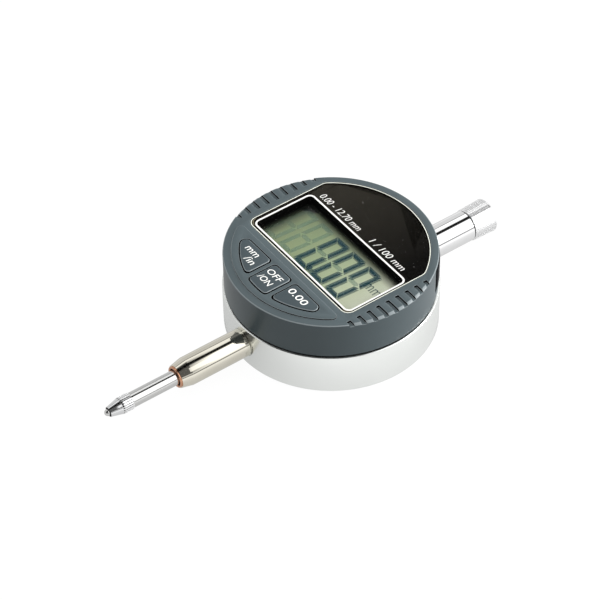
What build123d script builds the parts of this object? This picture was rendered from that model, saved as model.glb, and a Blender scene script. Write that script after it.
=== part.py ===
from build123d import *
import os

os.makedirs("parts", exist_ok=True)

# Digital indicator, in millimetres. The dial faces up (+Z) and the spindle runs along Y, with the
# contact point towards -Y. The origin is the centre of the flat back.

# Spindle line
travel = 12.7
spindle_height = 6.7          # axis above the back
spindle_radius = 2.1
running_gap = 0.03            # radial, spindle in its bushes
press_gap = 0.01              # radial, pieces pressed or bonded together
stem_radius = 4.0             # standard 8 mm clamping stem
stem_length = 17.8            # straight clamping length outside the case
stem_taper = 3.3
stem_mouth_radius = 3.3
stem_root_radius = 3.6        # pressed into the case
bush_radius = 2.75
bush_flange_radius = 3.05
bush_flange = 0.5
bush_length = 10.0
sleeve_radius = 4.45
sleeve_bore = 3.2
sleeve_root_radius = 3.8
sleeve_length = 17.8          # from the spot face on the case to the end
cap_foot_radius = 4.65
cap_end_radius = 4.9
cap_length = 7.3
cap_seam = 0.12               # seam between the sleeve and the lifting cap
cap_edge = 0.35
neck_radius = 1.75            # threaded end of the spindle, in the cap
neck_length = 4.4
thread_run = 0.3              # left between a screwed end and the bottom of its hole
seam_chamfer = 0.2

# Contact point
contact_stub_radius = 1.25
contact_stub_length = 5.0
knurl_radius = 2.35
knurl_length = 2.8
cone_length = 3.9
cone_end_radius = 1.35
ball_radius = 1.2
contact_gap = 1.1             # left between the contact and the bush at full travel

# Case
case_radius = 29.3
case_height = 12.7
case_wall = 2.7
case_foot_chamfer = 0.4
case_rim_chamfer = 0.15
hub_half_width = 6.0
hub_depth = 5.1               # inwards from the inside of the wall
hub_rise = 5.1                # above the spindle axis
hub_drop = 4.9                # below the spindle axis
spot_face_depth = 0.6
spot_face_gap = 0.12          # round the stem and the sleeve
cover_thickness = 1.6
cover_ledge = 1.0
cover_gap = 0.1
cover_chamfer = 0.2

# Screws through the back
screw_angles = (27.5, 152.5, 218.2, 321.8)
screw_inset = 1.5             # from the inside of the wall
screw_radius = 1.0
screw_head_radius = 1.9
screw_length = 18.0
screw_sink = 0.15
screw_head_gap = 0.05
screw_slot = 0.5              # cross recess
screw_slot_length = 2.2
screw_slot_depth = 0.6
clearance_hole = 1.2
boss_radius = 2.6
post_radius = 2.2

# Bezel housing
bezel_step = 0.5              # the case stands out round the bezel by this
bezel_wall = 3.2
dial_height = 24.1
deck_thickness = 2.0
bezel_edge = 0.25
bezel_foot = 0.3              # chamfer at the joint with the case
spigot_depth = 0.8
spigot_gap = 0.12

# Grip grooves across the rim, both sides
groove_count = 9
groove_pitch = 3.1
groove_width = 1.15
groove_depth = 0.7
groove_margin = 2.05          # from the side of the lens to the inner end of a groove
groove_shift = 0.1

# Lens panel
lens_side = 6.5               # from the bezel's rim to the side of the lens
lens_rim = 2.35               # from the bezel's rim to the arc of the lens
lens_foot = 17.35             # from the bezel's rim to the lower edge of the lens
lens_corner = 2.4
lens_shoulder = 3.0
lens_thickness = 0.5
lens_drop = 0.1
lens_gap = 0.15
mask_thickness = 0.2
window_side = 1.7             # from the side of the lens to the window
window_foot = 0.95            # from the lower edge of the lens to the window
label_height = 18.05          # from the arc of the lens to the window
window_corner = 1.8

# Display
display_depth = 3.0           # top of the glass below the dial face
glass_thickness = 1.8
glass_ledge = 2.1             # contact ledge of the glass, below the window
glass_overlap = 0.7           # glass beyond the window on the other sides
reflector_thickness = 0.3
reflector_overlap = 0.3
strip_depth = 1.5             # elastomer connector strip under the contact ledge
strip_margin = 1.8
carrier_wall = 1.0
carrier_floor = 1.2
carrier_ledge = 5.5           # width of the floor round its opening
carrier_lip_drop = 0.2
carrier_gap = 0.15
window_rim = 0.6
rim_gap = 0.05

# Main board
board_gap = 0.3
board_thickness = 1.2
board_screw_x = 4.7
board_screw_inset = 2.0       # from the inner face of a hub
board_screw_radius = 0.8
board_screw_head = 1.25
board_screw_head_height = 0.7
board_screw_slot = 0.4
board_screw_length = 3.0
board_notch_gap = 0.3
processor_size = (10.0, 10.0, 1.4)
processor_place = (0.0, -1.0)
crystal_size = (6.0, 2.4, 1.2)
crystal_place = (12.0, -2.8)
capacitor_size = (1.6, 0.9, 0.8)
capacitor_row = 2.0
capacitor_places = (-12.2, -9.2, 8.8, 11.8, 14.8)

# Scale and its rider on the spindle
scale_gap = 0.3
scale_thickness = 0.8
scale_half_width = 3.6
scale_margin = 1.0
rider_gap = 1.5               # between the rider and the lower hub at rest
rider_length = 10.0
rider_half_width = 4.2
rider_drop = 3.6
rider_arm = 0.7
rider_stop_gap = 0.8          # between the arm and the upper hub at full travel
rider_screw_radius = 0.9
rider_socket = 0.8
guide_pin_radius = 0.8
guide_pin_embed = 1.5
guide_slot_gap = 0.05
guide_end_gap = 0.3
rail_thickness = 1.4
rail_half_height = 2.6
rail_end_gap = 1.6
rail_screw_inset = 1.8
rail_screw_radius = 0.8
rail_screw_head = 1.2
rail_screw_head_height = 0.7
rail_screw_length = 2.9

# Return spring
spring_radius = 2.9
spring_wire_radius = 0.22
spring_turns = 6

# Keys
pad_rise = 0.35
pad_top_gap = 2.05            # from the lens to the pad
pad_rim = 2.3                 # from the bezel's rim to the pad
pad_corner = 1.3
key_rise = 0.25
key_gap = 0.32
key_row_inset = 1.65          # from the top of the pad to the keys
side_key_inner = 5.15
side_key_inset = 2.05         # from the arc of the pad
middle_key_half = 4.0
middle_key_inset = 1.85
key_corner = 1.1
key_tip = 1.8
key_edge = 0.2
key_flange = 0.45
key_flange_thickness = 0.9
key_flange_gap = 0.1
plunger_radius = 1.8
side_plunger_x = 9.6
side_plunger_drop = 3.45      # below the top of the key
middle_plunger_drop = 4.45
dome_height = 3.4
dome_base_radius = 3.2
dome_wall = 0.5

# Battery drawer, on a line at this angle from +X
drawer_angle = 55.0
cell_radius = 5.8
cell_thickness = 5.4
cell_crown = 0.3
cell_cap_radius = 5.0
cell_edge = 0.3
cell_inset = 4.0              # centre of the cell from the inside of the bezel's wall
cell_gap = 0.1
tray_wall = 1.0
tray_floor = 0.6
tray_end = 6.6                # inner end of the tray from the centre of the cell
tray_slot = 2.6
slide_gap = 0.15
bay_wall = 1.2
bay_floor = 1.0
bay_end = 2.0                 # inner end of the bay from the end of the tray
front_half_width = 7.4
front_proud = 0.2             # beyond the bezel's rim
front_round = 0.7
front_edge = 0.35
front_top = 22.8
recess_depth = 1.6
recess_half_angle = 17.6
recess_bottom = 15.2
recess_top = 23.6
contact_width = 2.0           # sheet-metal leaves on both sides of the drawer's middle line
contact_spacing = 2.6
contact_strip = 0.25
contact_foot = 2.0
contact_rise = 1.8
contact_tip = 1.2
contact_reach = 2.2           # tip of the lower leaf from the centre of the cell
contact_bend = 0.5

# Cuts run past a face, and joined solids run into each other, by these
past = 1.0
overlap = 0.5

# Places that follow from the sizes
case_inner = case_radius - case_wall
bezel_radius = case_radius - bezel_step
cover_radius = case_inner + cover_ledge - cover_gap
hub_face = case_inner - hub_depth
board_bottom = spindle_height + hub_rise
board_top = board_bottom + board_thickness
spigot_bottom = case_height - spigot_depth
bezel_inner = bezel_radius - bezel_wall
screw_ring = case_inner - screw_inset
lens_half_width = bezel_radius - lens_side
lens_arc = bezel_radius - lens_rim
lens_bottom = lens_foot - bezel_radius
window_half_width = lens_half_width - window_side
window_bottom = lens_bottom + window_foot
window_top = lens_arc - label_height
groove_start = lens_half_width + groove_margin
pad_arc = bezel_radius - pad_rim
pad_top = lens_bottom - pad_top_gap
key_row_top = pad_top - key_row_inset
side_key_arc = pad_arc - side_key_inset
middle_key_arc = pad_arc - middle_key_inset
side_plunger = (side_plunger_x, key_row_top - side_plunger_drop)
middle_plunger_y = key_row_top - middle_plunger_drop
board_radius = bezel_inner - board_gap
board_screw_y = hub_face + board_screw_inset
rail_half_length = case_inner - rail_end_gap
rail_screw_y = hub_face + rail_screw_inset
rider_start = rider_gap - hub_face
rider_end = rider_start + rider_length
arm_end = hub_face - travel - rider_stop_gap
scale_end = arm_end - scale_margin
cell_distance = bezel_inner - cell_inset
tray_start = cell_distance - tray_end
bay_start = tray_start - bay_end
front_reach = bezel_radius + front_proud
recess_back = bezel_radius - recess_depth
deck_bottom = dial_height - deck_thickness
stem_mouth = case_radius + stem_length + stem_taper
bush_end = stem_mouth + bush_flange
spindle_end = bush_end + travel + contact_gap
spot_face = case_radius - spot_face_depth
sleeve_end = spot_face + sleeve_length
cap_start = sleeve_end + cap_seam
spindle_bore = spindle_radius + running_gap
lens_top = dial_height - lens_drop
mask_bottom = lens_top - lens_thickness - mask_thickness
glass_top = dial_height - display_depth
glass_bottom = glass_top - glass_thickness
reflector_bottom = glass_bottom - reflector_thickness
glass_high = window_top + glass_overlap
glass_low = window_bottom - glass_ledge
glass_half = window_half_width + glass_overlap
carrier_half = glass_half + carrier_gap + carrier_wall
carrier_high = glass_high + carrier_gap + carrier_wall
carrier_low = glass_low - carrier_gap - carrier_wall
scale_top = board_bottom - scale_gap
arm_top = scale_top - scale_thickness
arm_bottom = arm_top - rider_arm
pad_height = dial_height + pad_rise
key_top = pad_height + key_rise
dome_top = board_top + dome_height
tray_top = deck_bottom - slide_gap
cell_bottom = tray_top - 2 * cell_gap - cell_thickness
tray_bottom = cell_bottom - cell_gap - tray_floor
bay_floor_top = tray_bottom - slide_gap
tray_half = cell_radius + cell_gap + tray_wall
bay_half = tray_half + slide_gap
bay_edge = carrier_high + slide_gap     # the bay and the tray are cut back to clear the display
rail_back = -hub_half_width - rail_thickness
strip_half_length = glass_half - strip_margin


def upright(radius, low, high, x=0.0, y=0.0):
    """Cylinder along Z from low to high."""
    return Pos(x, y, low) * Cylinder(radius, high - low, align=(Align.CENTER, Align.CENTER, Align.MIN))


def lengthways(radius, start, end, x=0.0, z=spindle_height):
    """Cylinder along Y from start to end."""
    rod = Cylinder(radius, end - start, align=(Align.CENTER, Align.CENTER, Align.MIN))
    return Pos(x, start, z) * Rot(-90, 0, 0) * rod


def crossways(radius, start, end, y, z=spindle_height):
    """Cylinder along X from start to end."""
    rod = Cylinder(radius, end - start, align=(Align.CENTER, Align.CENTER, Align.MIN))
    return Pos(start, y, z) * Rot(0, 90, 0) * rod


def block(x0, x1, y0, y1, z0, z1):
    """Box between two corners."""
    return Pos((x0 + x1) / 2, (y0 + y1) / 2, (z0 + z1) / 2) * Box(x1 - x0, y1 - y0, z1 - z0)


def turned(points):
    """Solid turned about the spindle axis from (radius, y) points."""
    profile = make_face(Polyline(*points, close=True))
    return Pos(0, 0, spindle_height) * revolve(profile, Axis.Y)


def turned_upright(points):
    """Solid turned about the dial axis from (radius, z) points."""
    profile = make_face(Polyline(*[(r, 0, z) for r, z in points], close=True))
    return revolve(profile, Axis.Z)


def plate(outline, low, high):
    """Flat outline made a solid between two heights."""
    return Pos(0, 0, low) * extrude(outline, high - low)


def rectangle(x0, x1, y0, y1):
    """Flat rectangle between two corners."""
    return Pos((x0 + x1) / 2, (y0 + y1) / 2) * Rectangle(x1 - x0, y1 - y0)


def along_drawer(shape):
    """Turns a shape built along +X to the drawer's line."""
    return Rot(0, 0, drawer_angle) * shape


def save(name, *solids):
    """Writes one node."""
    shape = solids[0] if len(solids) == 1 else Compound(children=list(solids))
    export_step(shape, f"parts/{name}.step")


# Outlines seen from above

def lens_outline(grow=0.0):
    """Arc at the top, straight sides and a straight lower edge with round corners."""
    arc = Circle(lens_arc + grow)
    span = rectangle(-lens_half_width - grow, lens_half_width + grow, lens_bottom - grow, lens_arc + past)
    outline = arc & span
    corners = outline.vertices().group_by(Axis.Y)
    outline = fillet(corners[0], lens_corner + grow)
    shoulders = outline.vertices().group_by(Axis.Y)[-1]
    return fillet(shoulders, lens_shoulder + grow)


def window_outline(grow=0.0):
    """Clear window in the printed mask."""
    frame = rectangle(-window_half_width - grow, window_half_width + grow,
                      window_bottom - grow, window_top + grow)
    return fillet(frame.vertices(), window_corner + grow)


def pad_outline():
    """Raised key pad: a straight top edge and an arc that follows the rim."""
    outline = Circle(pad_arc) & rectangle(-pad_arc, pad_arc, -pad_arc - past, pad_top)
    return fillet(outline.vertices(), pad_corner)


def side_key_outline(side, shrink=0.0):
    """Key beside the middle one, with a pointed outer end; side is -1 or 1."""
    inner = side_key_inner + shrink
    arc = side_key_arc - shrink
    outline = Circle(arc) & rectangle(inner, arc, -arc - past, key_row_top - shrink)
    tip = outline.vertices().group_by(Axis.X)[-1]
    outline = fillet(tip, key_tip - shrink)
    rest = outline.vertices().group_by(Axis.X)[0]
    outline = fillet(rest, key_corner)
    return outline if side > 0 else mirror(outline, Plane.YZ)


def middle_key_outline(shrink=0.0):
    """Middle key."""
    half = middle_key_half - shrink
    arc = middle_key_arc - shrink
    span = rectangle(-half, half, -arc - past, key_row_top - shrink)
    outline = Circle(arc) & span
    return fillet(outline.vertices(), key_corner)


# Case and back

def screw_places():
    """Places of the screws through the back, on a circle."""
    places = [Vector(screw_ring, 0).rotate(Axis.Z, angle) for angle in screw_angles]
    return [(place.X, place.Y) for place in places]


def make_case():
    """Metal ring with two hubs for the spindle line and four screw bosses."""
    shell = turned_upright([(case_inner, 0), (case_radius - case_foot_chamfer, 0),
                            (case_radius, case_foot_chamfer), (case_radius, case_height - case_rim_chamfer),
                            (case_radius - case_rim_chamfer, case_height), (case_inner, case_height)])
    core = upright(case_inner + overlap, 0, case_height)
    hubs = block(-hub_half_width, hub_half_width, -case_radius, -hub_face,
                 spindle_height - hub_drop, board_bottom)
    hubs += block(-hub_half_width, hub_half_width, hub_face, case_radius,
                  spindle_height - hub_drop, board_bottom)
    bosses = [upright(boss_radius, cover_thickness, spigot_bottom, x, y) for x, y in screw_places()]
    inside = (hubs + bosses) & core
    case = shell + inside
    case -= upright(case_inner + cover_ledge, -past, cover_thickness)
    case -= lengthways(stem_root_radius + press_gap, -case_radius - past, 0)
    case -= lengthways(sleeve_root_radius + press_gap, 0, case_radius + past)
    case -= lengthways(stem_radius + spot_face_gap, -case_radius - past, -spot_face)
    case -= lengthways(sleeve_radius + spot_face_gap, spot_face, case_radius + past)
    for x, y in screw_places():
        case -= upright(clearance_hole, 0, case_height, x, y)
    for x, y in board_screw_places():
        case -= upright(board_screw_radius + press_gap, board_bottom - board_screw_length, case_height, x, y)
    for y in (-rail_screw_y, rail_screw_y):
        case -= crossways(rail_screw_radius + press_gap, rail_back, rail_back + rail_screw_length, y)
    return case


def board_screw_places():
    """One screw into the top of each hub, on opposite sides of the spindle line."""
    return [(board_screw_x, board_screw_y), (-board_screw_x, -board_screw_y)]


def make_back_cover():
    """Flat disc with countersunk holes."""
    cover = turned_upright([(0, 0), (cover_radius - cover_chamfer, 0), (cover_radius, cover_chamfer),
                            (cover_radius, cover_thickness), (0, cover_thickness)])
    for x, y in screw_places():
        cover -= Pos(x, y, 0) * make_countersink(screw_head_gap)
    return cover


def make_countersink(gap=0.0):
    """Cone through the cover, as wide as the screw's head where that sits just inside the back."""
    slope = (screw_head_radius - screw_radius) / (cover_thickness - screw_sink)
    wide = screw_head_radius + slope * screw_sink + gap
    return Cone(wide, screw_radius + gap, cover_thickness, align=(Align.CENTER, Align.CENTER, Align.MIN))


def make_case_screws():
    """Countersunk screws from the back into the bezel's posts."""
    screws = []
    for x, y in screw_places():
        screw = Pos(x, y, 0) * make_countersink() - upright(boss_radius, 0, screw_sink, x, y)
        screw += upright(screw_radius, cover_thickness, screw_sink + screw_length, x, y)
        low, high = 0, screw_sink + screw_slot_depth
        wide, narrow = screw_slot_length / 2, screw_slot / 2
        cross = block(x - narrow, x + narrow, y - wide, y + wide, low, high)
        cross += block(x - wide, x + wide, y - narrow, y + narrow, low, high)
        screws.append(screw - cross)
    return screws


# Bezel housing

def make_bezel():
    """Moulded housing: wall, deck, raised key pad, grip, display recess and battery bay."""
    body = turned_upright([(bezel_inner, case_height), (bezel_radius - bezel_foot, case_height),
                           (bezel_radius, case_height + bezel_foot),
                           (bezel_radius, dial_height - bezel_edge), (bezel_radius - bezel_edge, dial_height),
                           (0, dial_height), (0, deck_bottom), (bezel_inner, deck_bottom)])
    spigot = case_inner - spigot_gap
    body += turned_upright([(bezel_inner, spigot_bottom), (spigot, spigot_bottom),
                            (spigot, case_height + overlap), (bezel_inner, case_height + overlap)])
    body += plate(pad_outline(), dial_height - overlap, pad_height)
    body += make_window_rim()
    body += make_bay()
    posts = [upright(post_radius, spigot_bottom, deck_bottom + overlap, x, y) for x, y in screw_places()]
    body += [post & upright(spigot, 0, dial_height) for post in posts]
    body -= plate(lens_outline(lens_gap), mask_bottom, dial_height + past)
    body -= plate(window_outline(), 0, dial_height + past)
    body -= plate(middle_key_outline(), deck_bottom - past, key_top + past)
    for side in (-1, 1):
        body -= plate(side_key_outline(side), deck_bottom - past, key_top + past)
    body -= make_grooves()
    body -= make_drawer_recess()
    for x, y in screw_places():
        body -= upright(screw_radius + press_gap, 0, screw_sink + screw_length + thread_run, x, y)
    return body


def make_window_rim():
    """Short tunnel from the deck down to the display glass."""
    return plate(window_outline(window_rim), glass_top + rim_gap, deck_bottom + overlap)


def make_grooves():
    """Grooves across the rim on both sides, parallel to X."""
    grooves = []
    for number in range(groove_count):
        y = groove_shift + (number - (groove_count - 1) / 2) * groove_pitch
        for side in (-1, 1):
            near = min(side * groove_start, side * (bezel_radius + past))
            far = max(side * groove_start, side * (bezel_radius + past))
            grooves.append(block(near, far, y - groove_width / 2, y + groove_width / 2,
                                 dial_height - groove_depth, dial_height + past))
    return grooves


def make_bay():
    """Channel under the deck that the battery drawer slides in."""
    outer = block(bay_start, bezel_inner + past, -bay_half - bay_wall, bay_half + bay_wall,
                  bay_floor_top - bay_floor, deck_bottom + overlap)
    inner = block(bay_start + bay_wall, bezel_radius, -bay_half, bay_half, bay_floor_top, deck_bottom)
    slot = block(bay_start + bay_wall, cell_distance, -tray_slot, tray_slot, 0, deck_bottom)
    bay = along_drawer(outer - inner - slot)
    return bay - block(-bezel_radius, bezel_radius, -bezel_radius, bay_edge, 0, dial_height)


def make_drawer_recess():
    """Opening of the bay and the finger recess round the drawer's front."""
    mouth = along_drawer(block(bezel_inner - past, bezel_radius + past, -bay_half, bay_half,
                               bay_floor_top, deck_bottom))
    flare = make_face(Polyline((recess_back, 0, bay_floor_top), (recess_back, 0, front_top + slide_gap),
                               (bezel_radius, 0, recess_top), (bezel_radius + past, 0, recess_top),
                               (bezel_radius + past, 0, recess_bottom), (bezel_radius, 0, recess_bottom),
                               close=True))
    scoop = Rot(0, 0, drawer_angle - recess_half_angle) * revolve(flare, Axis.Z, 2 * recess_half_angle)
    return mouth + scoop


# Display

def make_lens():
    """Clear panel over the display."""
    return plate(lens_outline(), lens_top - lens_thickness, lens_top)


def make_mask():
    """Printed sheet under the lens, with a clear window."""
    sheet = plate(lens_outline(), mask_bottom, lens_top - lens_thickness)
    return sheet - plate(window_outline(), 0, dial_height)


def make_glass():
    """Liquid crystal cell."""
    return block(-glass_half, glass_half, glass_low, glass_high, glass_bottom, glass_top)


def make_reflector():
    """Reflector behind the cell, beside the connector strip."""
    return block(-glass_half + reflector_overlap, glass_half - reflector_overlap,
                 glass_low + strip_depth + 2 * carrier_gap, glass_high - reflector_overlap,
                 reflector_bottom, glass_bottom)


def make_strip():
    """Elastomer strip that joins the board to the glass."""
    low = glass_low + carrier_gap
    return block(-strip_half_length, strip_half_length, low, low + strip_depth, board_top, glass_bottom)


def make_carrier():
    """Frame that stands on the board and holds the display glass."""
    frame = block(-carrier_half, carrier_half, carrier_low, carrier_high,
                  board_top, glass_top - carrier_lip_drop)
    pocket = block(-carrier_half + carrier_wall, carrier_half - carrier_wall,
                   carrier_low + carrier_wall, carrier_high - carrier_wall, board_top - past, glass_top)
    floor = block(-carrier_half + carrier_wall / 2, carrier_half - carrier_wall / 2,
                  glass_low + strip_depth + 2 * carrier_gap, carrier_high - carrier_wall / 2,
                  reflector_bottom - carrier_floor, reflector_bottom)
    opening = block(-carrier_half + carrier_ledge, carrier_half - carrier_ledge,
                    glass_low + carrier_ledge, carrier_high - carrier_ledge, board_top, glass_top)
    carrier = (frame - pocket + floor - opening) & upright(bezel_inner - carrier_gap, 0, dial_height)
    for x, y in screw_places():
        carrier -= upright(post_radius + carrier_gap, 0, dial_height, x, y)
    return carrier


# Board and what is on it

def make_board():
    """Round board with notches for the screw bosses."""
    board = upright(board_radius, board_bottom, board_top)
    for x, y in screw_places():
        board -= upright(boss_radius + board_notch_gap, 0, dial_height, x, y)
    for x, y in board_screw_places():
        board -= upright(board_screw_radius + press_gap, 0, dial_height, x, y)
    return board


def make_board_screws():
    """Screws that hold the board on the hubs."""
    screws = []
    for x, y in board_screw_places():
        shank = upright(board_screw_radius, board_top - board_screw_length, board_top, x, y)
        head = upright(board_screw_head, board_top, board_top + board_screw_head_height, x, y)
        slot = block(x - board_screw_head, x + board_screw_head, y - board_screw_slot / 2,
                     y + board_screw_slot / 2, board_top + board_screw_head_height / 2, dial_height)
        screws.append(shank + head - slot)
    return screws


def make_chips():
    """Processor, clock crystal and a row of small capacitors beside them."""
    processor = Pos(*processor_place, board_top) * make_chip(processor_size)
    crystal = Pos(*crystal_place, board_top) * make_chip(crystal_size)
    capacitors = [Pos(x, capacitor_row, board_top) * make_chip(capacitor_size) for x in capacitor_places]
    return [processor, crystal] + capacitors


def make_chip(size):
    """Body that stands on the board."""
    return Box(*size, align=(Align.CENTER, Align.CENTER, Align.MIN))


def make_key_dome(x, y):
    """Rubber dome under a key."""
    roof = dome_top - dome_wall
    dome = turned_upright([(dome_base_radius - dome_wall, board_top), (dome_base_radius, board_top),
                           (plunger_radius, dome_top), (0, dome_top), (0, roof),
                           (plunger_radius - dome_wall, roof)])
    return Pos(x, y, 0) * dome


def make_negative_contact():
    """Leaf that rises from the board through the bay floor to the underside of the cell."""
    tip = cell_distance - contact_reach
    path = [(tip - contact_tip - contact_rise - contact_foot, board_top + contact_strip / 2),
            (tip - contact_tip - contact_rise, board_top + contact_strip / 2),
            (tip - contact_tip, cell_bottom - contact_strip / 2 - rim_gap),
            (tip, cell_bottom - contact_strip)]
    return make_leaf(path, -contact_spacing / 2)


def make_positive_contact():
    """Leaf that stands on the board and bears on the edge of the cell."""
    edge = cell_distance - cell_radius - contact_strip
    path = [(edge - contact_bend - contact_foot, board_top + contact_strip / 2),
            (edge - contact_bend, board_top + contact_strip / 2),
            (edge - contact_bend, cell_bottom + cell_thickness / 4),
            (edge, cell_bottom + cell_thickness / 2),
            (edge - contact_bend / 2, cell_bottom + cell_thickness * 3 / 4)]
    return make_leaf(path, contact_spacing / 2)


def make_leaf(path, offset):
    """Sheet-metal leaf through (distance, height) points, beside the drawer's middle line."""
    line = Polyline(*[(x, offset, z) for x, z in path])
    section = Plane(origin=line @ 0, z_dir=line % 0, x_dir=(0, 1, 0)) * Rectangle(contact_width, contact_strip)
    return along_drawer(sweep(section, path=line, transition=Transition.RIGHT))


# Spindle line

def make_stem():
    """Clamping stem with a root pressed into the lower hub."""
    return turned([(bush_radius + press_gap, -hub_face), (stem_root_radius, -hub_face),
                   (stem_root_radius, -case_radius), (stem_radius, -case_radius),
                   (stem_radius, -case_radius - stem_length), (stem_mouth_radius, -stem_mouth),
                   (bush_radius + press_gap, -stem_mouth)])


def make_lower_bush():
    """Flanged bronze bush in the stem's mouth."""
    return turned([(spindle_bore, -bush_end), (bush_flange_radius, -bush_end),
                   (bush_flange_radius, -stem_mouth), (bush_radius, -stem_mouth),
                   (bush_radius, -stem_mouth + bush_length), (spindle_bore, -stem_mouth + bush_length)])


def make_inner_bush():
    """Bronze bush at the stem's inner end."""
    return turned([(spindle_bore, -hub_face - bush_length / 2), (bush_radius, -hub_face - bush_length / 2),
                   (bush_radius, -hub_face), (spindle_bore, -hub_face)])


def make_upper_sleeve():
    """Tube that guards the upper end of the spindle, pressed into the upper hub."""
    return turned([(sleeve_bore, hub_face), (sleeve_root_radius, hub_face), (sleeve_root_radius, spot_face),
                   (sleeve_radius, spot_face), (sleeve_radius, sleeve_end - seam_chamfer),
                   (sleeve_radius - seam_chamfer, sleeve_end), (sleeve_bore, sleeve_end)])


def make_upper_bush():
    """Bronze bush in the sleeve's inner end."""
    return turned([(spindle_bore, hub_face), (sleeve_bore - press_gap, hub_face),
                   (sleeve_bore - press_gap, hub_face + bush_length),
                   (spindle_bore, hub_face + bush_length)])


def make_spindle():
    """Ground rod, bored at the lower end and necked at the upper."""
    neck_end = cap_start + neck_length
    rod = turned([(0, -spindle_end), (spindle_radius, -spindle_end), (spindle_radius, cap_start),
                  (neck_radius, cap_start), (neck_radius, neck_end), (0, neck_end)])
    return rod - lengthways(contact_stub_radius + press_gap, -spindle_end - past,
                            -spindle_end + contact_stub_length + thread_run)


def make_contact_point():
    """Screw-in contact: stub, collar and cone, with a drilled seat for the ball."""
    collar_end = spindle_end + knurl_length
    cone_end = collar_end + cone_length
    stub_end = -spindle_end + contact_stub_length
    point = turned([(0, stub_end), (contact_stub_radius, stub_end),
                    (contact_stub_radius, -spindle_end), (knurl_radius - seam_chamfer, -spindle_end),
                    (knurl_radius, -spindle_end - seam_chamfer), (knurl_radius, -collar_end + seam_chamfer),
                    (knurl_radius - seam_chamfer, -collar_end), (cone_end_radius, -cone_end), (0, -cone_end)])
    return point - lengthways(ball_radius + press_gap, -cone_end - past, -cone_end + ball_radius)


def make_contact_ball():
    """Hard ball at the tip."""
    return Pos(0, -spindle_end - knurl_length - cone_length, spindle_height) * Sphere(ball_radius)


def make_lifting_cap():
    """Flared knob on the upper end of the spindle."""
    end = cap_start + cap_length
    cap = turned([(0, cap_start), (cap_foot_radius - seam_chamfer, cap_start),
                  (cap_foot_radius, cap_start + seam_chamfer), (cap_end_radius, end - cap_edge),
                  (cap_end_radius - cap_edge, end), (0, end)])
    return cap - lengthways(neck_radius + press_gap, cap_start - past, cap_start + neck_length + thread_run)


# Rider, scale and guide

def make_rider():
    """Block clamped on the spindle, with an arm that carries the scale."""
    body = block(-rider_half_width, rider_half_width, rider_start, rider_end,
                 spindle_height - rider_drop, arm_top)
    arm = block(-scale_half_width, scale_half_width, rider_start, arm_end, arm_bottom, arm_top)
    rider = body + arm - lengthways(spindle_radius + press_gap, rider_start - past, rider_end + past)
    middle = rider_start + rider_length / 2
    rider -= crossways(rider_screw_radius + press_gap, 0, rider_half_width + past, middle)
    rider -= crossways(guide_pin_radius + press_gap, -rider_half_width - past, -spindle_radius, middle)
    return rider


def make_scale():
    """Grid strip that moves under the board."""
    return block(-scale_half_width, scale_half_width, rider_start, scale_end, arm_top, scale_top)


def make_rider_screw():
    """Grub screw that locks the rider."""
    middle = rider_start + rider_length / 2
    screw = crossways(rider_screw_radius, spindle_radius + press_gap, rider_half_width, middle)
    socket = rider_half_width - rider_socket
    return screw - crossways(rider_screw_radius / 2, socket, rider_half_width + past, middle)


def make_guide_pin():
    """Pin that runs in the rail's slot and stops the spindle from turning."""
    middle = rider_start + rider_length / 2
    return crossways(guide_pin_radius, rail_back + guide_slot_gap, -rider_half_width + guide_pin_embed, middle)


def make_guide_rail():
    """Slotted strip screwed to the sides of both hubs."""
    rail = block(rail_back, -hub_half_width, -rail_half_length, rail_half_length,
                 spindle_height - rail_half_height, spindle_height + rail_half_height)
    half = guide_pin_radius + guide_slot_gap
    pin_low = rider_start + rider_length / 2 - guide_end_gap
    pin_high = rider_start + rider_length / 2 + travel + guide_end_gap
    rail -= block(rail_back - past, 0, pin_low, pin_high, spindle_height - half, spindle_height + half)
    for y in (pin_low, pin_high):
        rail -= crossways(half, rail_back - past, 0, y)
    for y in (-rail_screw_y, rail_screw_y):
        rail -= crossways(rail_screw_radius + press_gap, rail_back - past, 0, y)
    return rail


def make_rail_screws():
    """Two screws that hold the rail."""
    screws = []
    for y in (-rail_screw_y, rail_screw_y):
        shank = crossways(rail_screw_radius, rail_back, rail_back + rail_screw_length, y)
        head = crossways(rail_screw_head, rail_back - rail_screw_head_height, rail_back, y)
        screws.append(shank + head)
    return screws


def make_spring():
    """Coil spring round the spindle, from the rider to the upper hub."""
    start = rider_end + spring_wire_radius
    length = hub_face - spring_wire_radius - start
    path = Helix(pitch=length / spring_turns, height=length, radius=spring_radius)
    section = Plane(origin=path @ 0, z_dir=path % 0) * RegularPolygon(spring_wire_radius, 6)
    wire = sweep(section, path=path, is_frenet=True)
    return Pos(0, start, spindle_height) * Rot(-90, 0, 0) * wire


# Keys

def make_key(outline, wide_outline, x, y):
    """Key cap with a flange under the deck and a plunger on its dome."""
    cap = plate(outline, deck_bottom - key_flange_gap - key_flange_thickness, key_top)
    cap = chamfer(cap.edges().group_by(Axis.Z)[-1], key_edge)
    flange_top = deck_bottom - key_flange_gap
    cap += plate(wide_outline, flange_top - key_flange_thickness, flange_top)
    return cap + upright(plunger_radius, dome_top, flange_top, x, y)


def make_side_key(side):
    """Left or right key."""
    return make_key(side_key_outline(side, key_gap), side_key_outline(side, -key_flange),
                    side * side_plunger[0], side_plunger[1])


def make_middle_key():
    """Middle key."""
    return make_key(middle_key_outline(key_gap), middle_key_outline(-key_flange), 0, middle_plunger_y)


# Battery drawer

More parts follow.
